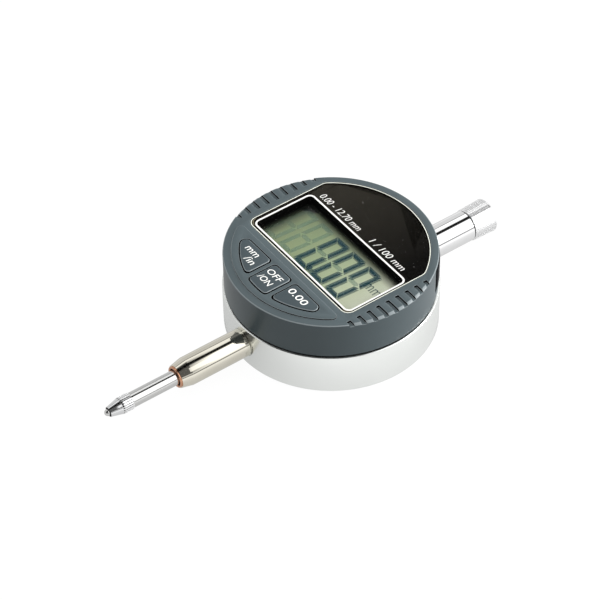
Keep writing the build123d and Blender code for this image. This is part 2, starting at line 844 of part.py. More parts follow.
def make_drawer():
    """Open-ended tray for the cell, with a front that closes the bay."""
    tray = block(tray_start, recess_back + slide_gap, -tray_half, tray_half, tray_bottom, tray_top)
    well = upright(cell_radius + cell_gap, tray_bottom + tray_floor, tray_top + past, cell_distance, 0)
    mouth = block(tray_start - past, cell_distance, -cell_radius - cell_gap, cell_radius + cell_gap,
                  tray_bottom + tray_floor, tray_top + past)
    slot = block(tray_start - past, cell_distance + past, -tray_slot, tray_slot,
                 tray_bottom - past, tray_top + past)
    front = block(recess_back + slide_gap, front_reach, -front_half_width, front_half_width,
                  tray_bottom, front_top) & upright(front_reach, tray_bottom, front_top)
    corners = front.edges().filter_by(Axis.Z).sort_by(Axis.X)[-2:]
    front = fillet(corners, front_round)
    rims = [edge for edge in front.edges().filter_by(GeomType.CIRCLE) if edge.radius > bezel_radius]
    front = chamfer(rims, front_edge)
    drawer = along_drawer(tray - well - mouth - slot + front - well)
    return drawer - block(-bezel_radius, bezel_radius, -bezel_radius, bay_edge + slide_gap, 0, dial_height)


def make_cell():
    """Button cell: wide can with a smaller cap on its lower side."""
    high = cell_bottom + cell_thickness
    step = cell_bottom + cell_crown
    cell = turned_upright([(0, cell_bottom), (cell_cap_radius, cell_bottom), (cell_cap_radius, step),
                           (cell_radius - cell_edge, step), (cell_radius, step + cell_edge),
                           (cell_radius, high - cell_edge), (cell_radius - cell_edge, high), (0, high)])
    return along_drawer(Pos(cell_distance, 0, 0) * cell)


save("case", make_case())
save("back_cover", make_back_cover())
save("case_screws", *make_case_screws())
save("bezel_housing", make_bezel())
save("display_lens", make_lens())
save("display_mask", make_mask())
save("display_glass", make_glass())
save("display_reflector", make_reflector())
save("connector_strip", make_strip())
save("display_carrier", make_carrier())
save("main_board", make_board())
save("board_screws", *make_board_screws())
save("board_chips", *make_chips())
save("stem", make_stem())
save("stem_bush", make_lower_bush())
save("inner_bush", make_inner_bush())
save("upper_sleeve", make_upper_sleeve())
save("upper_bush", make_upper_bush())
save("spindle", make_spindle())
save("contact_point", make_contact_point())
save("contact_ball", make_contact_ball())
save("lifting_cap", make_lifting_cap())
save("scale_rider", make_rider())
save("scale_strip", make_scale())
save("rider_screw", make_rider_screw())
save("guide_pin", make_guide_pin())
save("guide_rail", make_guide_rail())
save("rail_screws", *make_rail_screws())
save("return_spring", make_spring())
save("unit_key", make_side_key(-1))
save("power_key", make_middle_key())
save("zero_key", make_side_key(1))
save("unit_key_dome", make_key_dome(-side_plunger[0], side_plunger[1]))
save("power_key_dome", make_key_dome(0, middle_plunger_y))
save("zero_key_dome", make_key_dome(side_plunger[0], side_plunger[1]))
save("battery_drawer", make_drawer())
save("button_cell", make_cell())
save("negative_contact", make_negative_contact())
save("positive_contact", make_positive_contact())
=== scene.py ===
import math

import bmesh
import bpy
from mathutils import Matrix, Vector


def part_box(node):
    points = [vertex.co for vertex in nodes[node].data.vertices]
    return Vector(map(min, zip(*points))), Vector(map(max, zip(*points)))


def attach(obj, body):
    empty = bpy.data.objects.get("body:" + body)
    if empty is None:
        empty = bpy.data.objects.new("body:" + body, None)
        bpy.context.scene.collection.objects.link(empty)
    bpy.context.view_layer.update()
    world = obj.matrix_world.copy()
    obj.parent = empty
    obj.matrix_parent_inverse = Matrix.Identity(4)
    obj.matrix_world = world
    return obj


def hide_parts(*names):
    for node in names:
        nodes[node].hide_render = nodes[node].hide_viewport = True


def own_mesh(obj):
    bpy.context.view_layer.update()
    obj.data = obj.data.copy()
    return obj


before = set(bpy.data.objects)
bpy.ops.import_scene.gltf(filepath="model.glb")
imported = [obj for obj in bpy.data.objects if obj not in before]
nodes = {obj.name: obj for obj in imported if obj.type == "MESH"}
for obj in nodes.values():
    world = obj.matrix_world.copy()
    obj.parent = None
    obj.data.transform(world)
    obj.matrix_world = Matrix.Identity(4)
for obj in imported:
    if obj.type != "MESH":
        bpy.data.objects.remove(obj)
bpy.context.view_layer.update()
mm = 0.001


# small helpers for node trees

class Number:
    # wraps a number socket, so that sums on it add Math nodes
    def __init__(self, tree, socket):
        self.tree = tree
        self.socket = socket

    def math(self, operation, first, second=0.0):
        node = self.tree.nodes.new("ShaderNodeMath")
        node.operation = operation
        for slot, item in zip(node.inputs, (first, second)):
            if isinstance(item, Number):
                self.tree.links.new(item.socket, slot)
            else:
                slot.default_value = item
        return Number(self.tree, node.outputs[0])

    def __add__(self, other):
        return self.math("ADD", self, other)

    def __radd__(self, other):
        return self.math("ADD", other, self)

    def __sub__(self, other):
        return self.math("SUBTRACT", self, other)

    def __rsub__(self, other):
        return self.math("SUBTRACT", other, self)

    def __mul__(self, other):
        return self.math("MULTIPLY", self, other)

    def __rmul__(self, other):
        return self.math("MULTIPLY", other, self)

    def __truediv__(self, other):
        return self.math("DIVIDE", self, other)

    def sine(self):
        return self.math("SINE", self)

    def cosine(self):
        return self.math("COSINE", self)

    def power(self, exponent):
        return self.math("POWER", self, exponent)

    def clamped(self):
        return self.math("MINIMUM", self.math("MAXIMUM", self, 0.0), 1.0)


class Graph:
    # builds the nodes of a material, a world or a geometry tree
    def __init__(self, tree, family="ShaderNode"):
        self.tree = tree
        self.family = family

    def node(self, kind, settings=None, values=None):
        made = self.tree.nodes.new(kind if "Node" in kind else self.family + kind)
        for key, value in (settings or {}).items():
            if key == "stops":
                setStops(made.color_ramp, value)
            else:
                setattr(made, key, value)
        for key, value in (values or {}).items():
            self.plug(made.inputs[key], value)
        return made

    def plug(self, socket, value):
        if isinstance(value, Number):
            self.tree.links.new(value.socket, socket)
        elif isinstance(value, bpy.types.NodeSocket):
            self.tree.links.new(value, socket)
        else:
            socket.default_value = value

    def number(self, kind, settings=None, values=None, output=0):
        return Number(self.tree, self.node(kind, settings, values).outputs[output])

    def vector(self, *parts):
        return self.node("ShaderNodeCombineXYZ", None, dict(enumerate(parts))).outputs[0]

    def split(self, vector):
        # x, y and z of a vector
        parts = self.node("ShaderNodeSeparateXYZ", None, {0: vector}).outputs
        return [Number(self.tree, socket) for socket in parts]

    def rays(self):
        # 1 for what the camera sees itself, and 1 for what gloss mirrors
        kinds = self.node("LightPath").outputs
        return [Number(self.tree, kinds[label]) for label in ("Is Camera Ray", "Is Glossy Ray")]


def setStops(ramp, stops):
    while len(ramp.elements) < len(stops):
        ramp.elements.new(1.0)
    for element, (place, colour) in zip(ramp.elements, stops):
        element.position = place
        element.color = (*colour, 1.0)


class Finish(Graph):
    # a material with one Principled shader, painted in object coordinates
    def __init__(self, name):
        self.material = bpy.data.materials.new(name)
        self.material.use_nodes = True
        super().__init__(self.material.node_tree)
        self.tree.nodes.clear()
        self.shader = self.node("BsdfPrincipled")
        output = self.node("OutputMaterial")
        self.tree.links.new(self.shader.outputs[0], output.inputs["Surface"])
        self.place = self.node("TexCoord").outputs["Object"]

    def stretched(self, stretch):
        # object coordinates in millimetres, times a stretch for each axis
        scale = [part / mm for part in stretch]
        return self.node("VectorMath", {"operation": "MULTIPLY"}, {0: self.place, 1: scale}).outputs[0]

    def noise(self, size, stretch=(1, 1, 1), detail=3.0, roughness=0.55):
        # grey clouds of this size in millimetres, 0 to 1
        return self.number("TexNoise", None, {"Vector": self.stretched(stretch), "Scale": 1 / size,
                                              "Detail": detail, "Roughness": roughness})

    def axes(self):
        # x, y and z in millimetres
        return self.split(self.stretched((1, 1, 1)))

    def recess(self):
        # 1 on faces that get painted shade, walls that lie in the shade, 0 elsewhere
        return self.number("Attribute", {"attribute_name": "recess"}, output="Fac")

    def blend(self, factor, first, second):
        # colour between two colours
        first, second = (c if isinstance(c, bpy.types.NodeSocket) else (*c, 1.0) for c in (first, second))
        return self.node("Mix", {"data_type": "RGBA"}, {0: factor, 6: first, 7: second}).outputs[2]

    def bump(self, height, distance):
        # bumps of this height in millimetres
        values = {"Height": height, "Distance": distance * mm, "Strength": 1.0}
        return self.node("Bump", None, values).outputs[0]

    def set(self, **values):
        # sockets of the shader by name, with spaces for underscores
        for key, value in values.items():
            if isinstance(value, tuple) and len(value) == 3:
                value = (*value, 1.0)
            self.plug(self.shader.inputs[key.replace("_", " ")], value)
        return self.material


# finishes

def mouldedPlastic(name, look):
    # fine spark-eroded grain with faint flow clouds
    finish = Finish(name)
    grain = finish.noise(look["grain"])
    clouds = finish.noise(look["clouds"], detail=2.0)
    shade = (grain * 0.35 + clouds * 0.65).clamped()
    # painted shade on marked faces, and broken edges lighter, partly as wear and partly as painted highlight
    recess, worn = finish.recess(), finish.number("Attribute", {"attribute_name": "worn"}, output="Fac")
    colour = finish.blend(shade, look["dark"], look["light"])
    colour = finish.blend(worn * look.get("wear", 0.0), colour, look.get("worn", look["light"]))
    colour = finish.blend(recess, colour, look.get("deep", (0.002, 0.002, 0.002)))
    rough = look["roughness"] + (grain - 0.5) * look["roughSpread"] + recess * 0.4
    # painted shade: marked faces turn near black, and metallic takes the gloss off them
    return finish.set(Base_Color=colour, Roughness=rough, Specular_IOR_Level=look["specular"],
                      Metallic=recess, Normal=finish.bump(grain, look["bump"]))


def turnedMetal(name, look):
    # rings of a lathe or grinder along one axis, with soft stains and painted shade in grooves
    finish = Finish(name)
    rings = finish.noise(look["ring"], look["stretch"], detail=4.0, roughness=0.7)
    stains = finish.noise(look["stain"], detail=2.0)
    colour = finish.blend((rings * 0.4 + stains * 0.6).clamped(), look["dark"], look["light"])
    colour = finish.blend(finish.recess(), colour, look.get("deep", (0.05, 0.05, 0.05)))   # painted shade in grooves
    rough = look["roughness"] + rings * look["roughSpread"]
    bumps = finish.bump(rings, look["bump"])
    return finish.set(Base_Color=colour, Metallic=1.0, Roughness=rough, Normal=bumps)


def brushedRing(name, look):
    # brushed round the dial axis
    finish = Finish(name)
    x, y, z = finish.axes()
    angle = finish.number("Math", {"operation": "ARCTAN2"}, {0: y, 1: x})
    place = finish.vector(angle * look["turnScale"], z * look["acrossScale"], (x * x + y * y).power(0.5))
    brush = finish.number("TexNoise", None, {"Vector": place, "Scale": 1.0, "Detail": 4.0, "Roughness": 0.6})
    stains = finish.noise(look["stain"], detail=2.0)
    colour = finish.blend((brush * 0.5 + stains * 0.5).clamped(), look["dark"], look["light"])
    rough = look["roughness"] + brush * look["roughSpread"]
    bumps = finish.bump(brush, look["bump"])
    return finish.set(Base_Color=colour, Metallic=1.0, Roughness=rough, Normal=bumps)


def inkFinish(name, look):
    # printed ink, slightly uneven
    finish = Finish(name)
    patches = finish.noise(look["patch"], detail=3.0)
    colour = finish.blend(patches, look["dark"], look["light"])
    through = 1 - math.sqrt(1 - look.get("alpha", 1.0))   # a thin plate is seen through both its faces
    # ghost segments fade out towards the left, into the display's painted shade
    if "fade" in look:
        x, y, z = finish.axes()
        through = ((x - look["fade"][0]) / look["fade"][1]).clamped() * through
    return finish.set(Base_Color=colour, Roughness=look["roughness"], Alpha=through)


# what the plastics share where their own look says nothing else
plasticBase = {"grain": 0.2, "clouds": 6.0, "roughSpread": 0.12, "specular": 0.38, "bump": 0.010}
plasticLooks = {
    # broken edges of slate and keys take a lighter colour, partly wear and partly painted highlight
    "slatePlastic": {
        "dark": (0.050, 0.070, 0.077), "light": (0.068, 0.092, 0.101), "grain": 0.22, "clouds": 9.0,
        "roughness": 0.36, "roughSpread": 0.14, "wear": 0.8, "worn": (0.22, 0.25, 0.26)},
    "keyPlastic": {
        "dark": (0.034, 0.050, 0.058), "light": (0.047, 0.067, 0.076), "grain": 0.18, "roughness": 0.38,
        "bump": 0.009, "wear": 0.8, "worn": (0.22, 0.25, 0.26)},
    "drawerPlastic": {
        "dark": (0.003, 0.0035, 0.004), "light": (0.009, 0.010, 0.012), "clouds": 5.0, "roughness": 0.45,
        "specular": 0.04},
    "blackRubber": {
        "dark": (0.012, 0.012, 0.013), "light": (0.026, 0.026, 0.028), "grain": 0.15, "clouds": 3.0,
        "roughness": 0.7, "roughSpread": 0.1, "specular": 0.3},
    "whitePlastic": {
        "dark": (0.62, 0.62, 0.59), "light": (0.74, 0.74, 0.71), "roughness": 0.5, "roughSpread": 0.1,
        "specular": 0.5, "bump": 0.008},
    "chipPlastic": {
        "dark": (0.010, 0.010, 0.011), "light": (0.022, 0.022, 0.024), "grain": 0.12, "clouds": 2.0,
        "roughness": 0.55, "roughSpread": 0.15, "specular": 0.4},
    "boardLacquer": {
        "dark": (0.006, 0.075, 0.030), "light": (0.014, 0.125, 0.050), "grain": 0.3, "clouds": 2.0,
        "roughness": 0.3, "roughSpread": 0.1, "specular": 0.5, "bump": 0.006},
}
alongSpindle = (0.12, 3.0, 0.12)
metalBase = {"ring": 0.3, "stretch": (1, 1, 1), "stain": 2.0, "roughness": 0.2, "roughSpread": 0.15,
             "bump": 0.002}
metalLooks = {
    "nickelSteel": {
        "dark": (0.68, 0.65, 0.55), "light": (0.79, 0.76, 0.67), "ring": 0.9, "stretch": alongSpindle,
        "stain": 5.0, "roughness": 0.03, "roughSpread": 0.06},
    "polishedChrome": {
        "dark": (0.74, 0.745, 0.75), "light": (0.80, 0.805, 0.81), "ring": 0.8, "stretch": alongSpindle,
        "stain": 5.0, "roughness": 0.04, "roughSpread": 0.06, "bump": 0.0015},
    "brightChrome": {
        "dark": (0.93, 0.935, 0.94), "light": (0.97, 0.97, 0.97), "ring": 0.8, "stretch": alongSpindle,
        "stain": 5.0, "roughness": 0.03, "roughSpread": 0.05, "bump": 0.0012, "deep": (0.30, 0.30, 0.30)},
    "knurledChrome": {
        "dark": (0.93, 0.935, 0.94), "light": (0.97, 0.97, 0.97), "ring": 0.8, "stretch": alongSpindle,
        "stain": 5.0, "roughness": 0.26, "roughSpread": 0.08, "bump": 0.0012, "deep": (0.5, 0.5, 0.5)},
    "groundSteel": {
        "dark": (0.62, 0.62, 0.61), "light": (0.70, 0.70, 0.69), "ring": 0.5, "stretch": alongSpindle,
        "stain": 4.0, "roughness": 0.07, "roughSpread": 0.10, "bump": 0.0015},
    "bushBronze": {
        "dark": (0.48, 0.22, 0.13), "light": (0.74, 0.42, 0.27), "ring": 0.4, "stretch": alongSpindle,
        "roughness": 0.18, "bump": 0.003, "deep": (0.03, 0.015, 0.01)},
    "screwSteel": {"dark": (0.50, 0.50, 0.50), "light": (0.68, 0.68, 0.67), "ring": 0.4, "bump": 0.003},
    "springSteel": {"dark": (0.38, 0.38, 0.39), "light": (0.52, 0.52, 0.53), "roughness": 0.25},
    "goldContact": {"dark": (0.72, 0.50, 0.20), "light": (0.86, 0.66, 0.32), "roughSpread": 0.1},
    "cellSteel": {
        "dark": (0.60, 0.60, 0.58), "light": (0.74, 0.74, 0.72), "stretch": (1, 1, 0.2), "stain": 3.0},
    "riderAluminium": {
        "dark": (0.62, 0.63, 0.64), "light": (0.76, 0.77, 0.78), "ring": 0.4, "stretch": (3, 0.3, 1),
        "stain": 4.0, "roughness": 0.28, "bump": 0.003},
}
ringLooks = {
    "caseMetal": {
        "dark": (0.84, 0.86, 0.84), "light": (0.92, 0.94, 0.92), "stain": 9.0, "turnScale": 5.0,
        "acrossScale": 5.0, "roughness": 0.16, "roughSpread": 0.14, "bump": 0.002},
    "coverMetal": {
        "dark": (0.60, 0.61, 0.61), "light": (0.76, 0.77, 0.77), "stain": 11.0, "turnScale": 2.0,
        "acrossScale": 5.0, "roughness": 0.24, "roughSpread": 0.16, "bump": 0.003},
}
blueInk = {"dark": (0.001, 0.050, 0.066), "light": (0.002, 0.065, 0.084), "patch": 1.5, "roughness": 0.3}
inkLooks = {
    "whiteInk": {"dark": (0.80, 0.80, 0.77), "light": (0.93, 0.93, 0.90), "patch": 0.6, "roughness": 0.45},
    "segmentInk": {**blueInk, "alpha": 0.58},
    "shadowInk": {**blueInk, "alpha": 0.44},
    "ghostInk": {
        "dark": (0.08, 0.21, 0.17), "light": (0.12, 0.26, 0.21), "patch": 2.0, "roughness": 0.3,
        "alpha": 0.28, "fade": (-20.0, 5.5)},
    # painted highlight and painted reflection for the panel's edges
    "rimInk": {"dark": (0.76, 0.79, 0.68), "light": (0.90, 0.92, 0.84), "patch": 3.0, "roughness": 0.15},
    "tanInk": {"dark": (0.20, 0.17, 0.10), "light": (0.34, 0.30, 0.20), "patch": 3.0, "roughness": 0.15},
    "dustInk": {"dark": (0.45, 0.44, 0.42), "light": (0.72, 0.71, 0.69), "patch": 0.3, "roughness": 0.8},
}
materials = {}
for make, base, looks in ((mouldedPlastic, plasticBase, plasticLooks), (turnedMetal, metalBase, metalLooks),
                          (brushedRing, {}, ringLooks), (inkFinish, {}, inkLooks)):
    materials.update({name: make(name, {**base, **look}) for name, look in looks.items()})


# display glass, mask and lens finishes

displayLook = {"stops": ((0.0, (0.11, 0.15, 0.075)), (0.3, (0.18, 0.24, 0.12)), (0.62, (0.28, 0.34, 0.20)),
                         (0.85, (0.40, 0.44, 0.31)), (1.0, (0.52, 0.55, 0.45))),
               "cloud": (0.25, 0.26, 0.14), "shade": (0.004, 0.005, 0.004), "roughness": 0.25,
               "left": -20.6, "right": 20.6, "high": 8.4, "shadeLeft": 5.4, "shadeHigh": 4.2}


def displayFinish():
    # grey-green display lit by painted light towards the right, with painted shade of its surround on two
    # sides
    look = displayLook
    finish = Finish("displayGreen")
    x, y, z = finish.axes()
    across = ((x - look["left"]) / (look["right"] - look["left"])).clamped()
    base = finish.node("ValToRGB", {"stops": look["stops"]}, {"Fac": across}).outputs[0]
    patches = finish.noise(7.0, (1, 0.6, 1), detail=2.0)
    base = finish.blend(patches * 0.3, base, look["cloud"])
    left = 1 - ((x - look["left"]) / look["shadeLeft"]).clamped()
    high = 1 - ((look["high"] - y) / look["shadeHigh"]).clamped()
    shade = (left * left * (3 - 2 * left) + high * high * (3 - 2 * high)).clamped()
    return finish.set(Base_Color=finish.blend(shade, base, look["shade"]), Roughness=look["roughness"])


materials["displayGreen"] = displayFinish()

maskLook = {"left": (0.024, 0.022, 0.017), "right": (0.0005, 0.0005, 0.0003), "cloud": (0.006, 0.005, 0.004),
            "roughness": 0.06, "specular": 0.03, "reach": 18.0}


def maskFinish():
    # black-brown print behind a gloss panel, browner to the left
    finish = Finish("maskBlack")
    x, y, z = finish.axes()
    across = (x / (2 * maskLook["reach"]) + 0.5).clamped()
    patches = finish.noise(6.0, detail=3.0)
    colour = finish.blend(across, maskLook["left"], maskLook["right"])
    colour = finish.blend(patches * 0.3, colour, maskLook["cloud"])
    return finish.set(Base_Color=colour, Roughness=maskLook["roughness"] + patches * 0.04,
                      Specular_IOR_Level=maskLook["specular"])


materials["maskBlack"] = maskFinish()

lensLook = {"tint": (0.02, 0.02, 0.02), "alpha": 0.012, "roughness": 0.03, "specular": 0.05}


def lensFinish():
    # clear panel: it shows only by its gloss
    finish = Finish("clearPanel")
    smear = finish.noise(8.0, (1, 0.4, 1), detail=2.0)
    return finish.set(Base_Color=lensLook["tint"], Alpha=lensLook["alpha"] + smear * 0.02,
                      Roughness=lensLook["roughness"] + smear * 0.04, Specular_IOR_Level=lensLook["specular"])


materials["clearPanel"] = lensFinish()
print("finishes ready", len(materials))


# pieces

def giveMaterial(piece, name):
    piece.data.materials.clear()
    piece.data.materials.append(materials[name])


def linked(name, data):
    # a new object in the scene
    holder = bpy.data.objects.new(name, data)
    bpy.context.scene.collection.objects.link(holder)
    return holder


def plainMesh(holder):
    # the object's mesh, with its modifiers or its text made real
    graph = bpy.context.evaluated_depsgraph_get()
    return bpy.data.meshes.new_from_object(holder.evaluated_get(graph))


def closedMesh(name, shape):
    # the mesh of a closed shape, its faces turned outwards
    bmesh.ops.recalc_face_normals(shape, faces=shape.faces)
    mesh = bpy.data.meshes.new(name)
    shape.to_mesh(mesh)
    shape.free()
    return mesh


def addPiece(name, mesh, material, body, replaced=()):
    # links a finished mesh as a piece that rides on a body
    piece = linked(name, mesh)
    giveMaterial(piece, material)
    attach(piece, body)
    if replaced:
        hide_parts(*replaced)
    return piece


def shadeByAngle(mesh, degrees=32.0):
    for face in mesh.polygons:
        face.use_smooth = True
    mesh.set_sharp_from_angle(angle=math.radians(degrees))


def mergedCopy(node):
    # the node's triangles joined at their edges and its flat faces made whole again
    source = nodes[node].data
    mesh = bpy.data.meshes.new(node + "Copy")
    mesh.from_pydata([v.co for v in source.vertices], [], [tuple(p.vertices) for p in source.polygons])
    shape = bmesh.new()
    shape.from_mesh(mesh)
    bmesh.ops.remove_doubles(shape, verts=shape.verts, dist=0.0015 * mm)
    bmesh.ops.dissolve_limit(shape, angle_limit=math.radians(0.4), verts=shape.verts, edges=shape.edges)
    shape.to_mesh(mesh)
    shape.free()
    return mesh


def softened(node, name, material, body, edge, segments=2, degrees=30.0, mesh=None):
    # stands for a node, with its sharp edges broken
    piece = addPiece(name, mesh or mergedCopy(node), material, body, (node,))
    if edge:
        bevel = piece.modifiers.new("brokenEdges", "BEVEL")
        bevel.width = edge * mm
        bevel.segments = segments
        bevel.limit_method = "ANGLE"
        bevel.angle_limit = math.radians(degrees)
        bevel.use_clamp_overlap = False
        bevel.miter_outer = "MITER_ARC"
        mesh = plainMesh(piece)
        piece.modifiers.clear()
        piece.data = mesh
    shadeByAngle(piece.data)
    return piece


def paintFaces(mesh, label, rule):
    # stores a number for each face, from its middle in millimetres and its normal
    values = mesh.attributes.new(label, "FLOAT", "FACE")
    for face in mesh.polygons:
        values.data[face.index].value = rule(face.center / mm, face.normal)


axisHeight = (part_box("spindle")[0].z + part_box("spindle")[1].z) / 2


def turned(name, profile, sides=96):
    # mesh turned about the spindle line from (radius, y) points in metres, closed at both ends
    shape = bmesh.new()
    rings = []
    for radius, y in profile:
        if radius < 1e-6:
            rings.append([shape.verts.new((0, y, axisHeight))])
            continue
        turns = [2 * math.pi * step / sides for step in range(sides)]
        places = [(radius * math.sin(t), y, axisHeight + radius * math.cos(t)) for t in turns]
        rings.append([shape.verts.new(place) for place in places])
    for near, far in zip(rings, rings[1:] + rings[:1]):
        for step in range(sides):
            after = (step + 1) % sides
            corners = [near[step % len(near)], near[after % len(near)],
                       far[after % len(far)], far[step % len(far)]]
            corners = [c for i, c in enumerate(corners) if c not in corners[:i]]
            if len(corners) > 2:
                shape.faces.new(corners)
    mesh = closedMesh(name, shape)
    shadeByAngle(mesh)
    return mesh


def roundedEdge(centreRadius, centreY, size, start, end, steps=4):
    # profile points of a rounded edge, from one angle to another in degrees
    angles = [math.radians(start + (end - start) * step / steps) for step in range(steps + 1)]
    return [(centreRadius + size * math.cos(a), centreY + size * math.sin(a)) for a in angles]


def joinedMesh(name, meshes):
    shape = bmesh.new()
    for mesh in meshes:
        shape.from_mesh(mesh)
        bpy.data.meshes.remove(mesh)
    mesh = bpy.data.meshes.new(name)
    shape.to_mesh(mesh)
    shape.free()
    return mesh


# knurls, made as ridges round the spindle line

def growingTree(name, sizes):
    # a geometry tree with these inputs and a material, its graph and its inputs
    tree = bpy.data.node_groups.new(name, "GeometryNodeTree")
    for label, kind in (("Geometry", "Geometry"), *sizes, ("Material", "Material")):
        tree.interface.new_socket(label, in_out="INPUT", socket_type="NodeSocket" + kind)
    tree.interface.new_socket("Geometry", in_out="OUTPUT", socket_type="NodeSocketGeometry")
    graph = Graph(tree, "GeometryNode")
    return tree, graph, graph.node("NodeGroupInput").outputs


def growOnPoints(graph, given, points, shape, values):
    # the shape on every point, made real and painted
    copies = graph.node("InstanceOnPoints", None, {"Points": points, "Instance": shape, **values})
    joined = graph.node("RealizeInstances", None, {"Geometry": copies.outputs[0]})
    painted = graph.node("SetMaterial", None, {"Geometry": joined.outputs[0],
                                               "Material": given["Material"]})
    graph.node("NodeGroupOutput", None, {0: painted.outputs[0]})


def ridgeTree():
    lengths = ("Radius", "Middle", "Axis Height", "Length", "Ridge", "Ridge End", "Roll", "Tilt")
    sizes = (("Count", "Int"), *((label, "Float") for label in lengths))
    tree, graph, given = growingTree("ridgesRoundSpindle", sizes)
    size = {label: Number(tree, given[label]) for label in ("Count", *lengths)}
    turn = graph.number("GeometryNodeInputIndex") * (2 * math.pi) / size["Count"]
    spot = graph.vector(size["Radius"] * turn.sine(), size["Middle"],
                        size["Axis Height"] + size["Radius"] * turn.cosine())
    points = graph.node("Points", None, {"Count": size["Count"], "Position": spot})
    ridge = graph.node("MeshCone", None, {"Vertices": 4, "Radius Bottom": size["Ridge"],
                                          "Radius Top": size["Ridge End"], "Depth": size["Length"]})
    toMiddle = graph.vector(0.0, 0.0, size["Length"] * -0.5)
    centred = graph.node("Transform", None, {"Geometry": ridge.outputs["Mesh"], "Translation": toMiddle})
    toSpindle = graph.vector(math.pi / 2, size["Roll"])
    lying = graph.node("Transform", None, {"Geometry": centred.outputs[0], "Rotation": toSpindle})
    growOnPoints(graph, given, points.outputs[0], lying.outputs[0],
                 {"Rotation": graph.vector(size["Tilt"], turn)})
    return tree


def grownMesh(tree, values, base=None):
    # runs a geometry tree once and returns its plain mesh
    holder = linked("grower", base or bpy.data.meshes.new("grower"))
    modifier = holder.modifiers.new("grow", "NODES")
    modifier.node_group = tree
    for item in tree.interface.items_tree:
        if item.in_out == "INPUT" and item.name in values:
            modifier[item.identifier] = values[item.name]
    mesh = plainMesh(holder)
    bpy.data.objects.remove(holder)
    return mesh


ridgesRoundSpindle = ridgeTree()


# spindle line

capLook = {"foot": 4.65, "head": 4.9, "barCount": 52, "barShare": 0.8, "grooveDepth": 0.13, "plainFoot": 0.3,
           "plainHead": 0.3, "round": 0.35, "footEdge": 0.12, "barRoom": 0.06}


def makeLiftingCap():
    low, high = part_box("lifting_cap")
    foot, head, edge = capLook["foot"] * mm, capLook["head"] * mm, capLook["round"] * mm
    start, end = low.y, high.y
    slope = (head - foot) / (end - start)
    depth, count = capLook["grooveDepth"] * mm, capLook["barCount"]
    knurlStart, knurlEnd = start + capLook["plainFoot"] * mm, end - capLook["plainHead"] * mm - edge

    def radiusAt(y):
        return foot + slope * (y - start)

    footEdge = capLook["footEdge"] * mm
    profile = [(0, start), (foot - footEdge, start), (foot, start + footEdge),
               (radiusAt(knurlStart), knurlStart), (radiusAt(knurlStart) - depth, knurlStart + depth * 0.5),
               (radiusAt(knurlEnd) - depth, knurlEnd - depth * 0.5), (radiusAt(knurlEnd), knurlEnd)]
    profile += roundedEdge(head - edge, end - edge, edge, 0, 90)
    profile += [(0, end)]
    cap = turned("liftingCap", profile)
    # painted shade on the cap's core between the knurl's bars
    paintFaces(cap, "recess", lambda c, n: 1.0 if knurlStart < c.y * mm < knurlEnd else 0.0)
    addPiece("liftingCap", cap, "knurledChrome", "spindle_group", ("lifting_cap",))
    middle = (knurlStart + knurlEnd) / 2
    bar = 2 * math.pi * radiusAt(middle) / count * capLook["barShare"]   # side of each square bar
    ridges = grownMesh(ridgesRoundSpindle, {
        "Count": count, "Radius": radiusAt(middle) - bar / 2, "Middle": middle, "Axis Height": axisHeight,
        "Length": knurlEnd - knurlStart - capLook["barRoom"] * mm, "Ridge": bar / math.sqrt(2),
        "Ridge End": bar / math.sqrt(2), "Roll": math.pi / 4, "Tilt": math.atan(slope),
        "Material": materials["knurledChrome"]})
    addPiece("liftingCapKnurl", ridges, "knurledChrome", "spindle_group")


contactLook = {"collar": 2.35, "collarLength": 2.8, "barCount": 24, "barShare": 0.7, "grooveDepth": 0.13,
               "coneEnd": 1.4, "seat": 1.15, "seatDepth": 0.3, "seatShade": 1.01, "edge": 0.12, "ball": 0.95}


def makeContact():
    low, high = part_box("contact_point")
    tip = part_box("contact_ball")[0].y
    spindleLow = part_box("spindle")[0].y
    look = contactLook
    collar, coneTip = look["collar"] * mm, look["coneEnd"] * mm
    count, edge, depth = look["barCount"], look["edge"] * mm, look["grooveDepth"] * mm
    foot = collar - depth
    collarEnd = spindleLow - look["collarLength"] * mm
    coneEnd = low.y
    slope = (collar - coneTip) / (collarEnd - coneEnd)
    seat, seatDepth = look["seat"] * mm, look["seatDepth"] * mm
    profile = [(0, spindleLow), (foot - edge, spindleLow), (foot, spindleLow - edge),
               (foot, collarEnd - depth / slope), (coneTip, coneEnd), (seat, coneEnd),
               (seat, coneEnd + seatDepth), (0, coneEnd + seatDepth)]

    def shaded(c, n):
        # painted shade on the core between the bars, and on the ball's seat with its floor
        y = c.y * mm
        return 1.0 if y > collarEnd or y < coneEnd + seatDepth * look["seatShade"] else 0.0

    point = turned("contactPoint", profile)
    paintFaces(point, "recess", shaded)
    addPiece("contactPoint", point, "polishedChrome", "spindle_group", ("contact_point",))
    bar = 2 * math.pi * collar / count * look["barShare"]   # side of each square bar
    runOut = bar / 2 / slope
    given = {"Count": count, "Radius": collar - bar / 2, "Axis Height": axisHeight,
             "Ridge": bar / math.sqrt(2), "Roll": math.pi / 4, "Tilt": 0.0,
             "Material": materials["knurledChrome"]}
    bars = {"Middle": (spindleLow - edge + collarEnd) / 2, "Length": spindleLow - edge - collarEnd,
            "Ridge End": bar / math.sqrt(2)}
    points = {"Middle": collarEnd - runOut / 2, "Length": runOut, "Ridge End": 0.0}
    body, teeth = (grownMesh(ridgesRoundSpindle, {**given, **ridges}) for ridges in (bars, points))
    addPiece("contactKnurl", joinedMesh("contactKnurl", (body, teeth)), "knurledChrome", "spindle_group")
    radius = look["ball"] * mm
    ball = roundedEdge(0, tip + radius, radius, 90, -90, 24)
    addPiece("contactBall", turned("contactBall", ball, 48), "groundSteel", "spindle_group",
             ("contact_ball",))


bushLook = {"flange": 3.05, "body": 2.75, "flangeDepth": 0.5, "round": 0.18, "lip": 2.62, "lipEdge": 0.1,
            "throat": 0.9, "gap": 0.03}


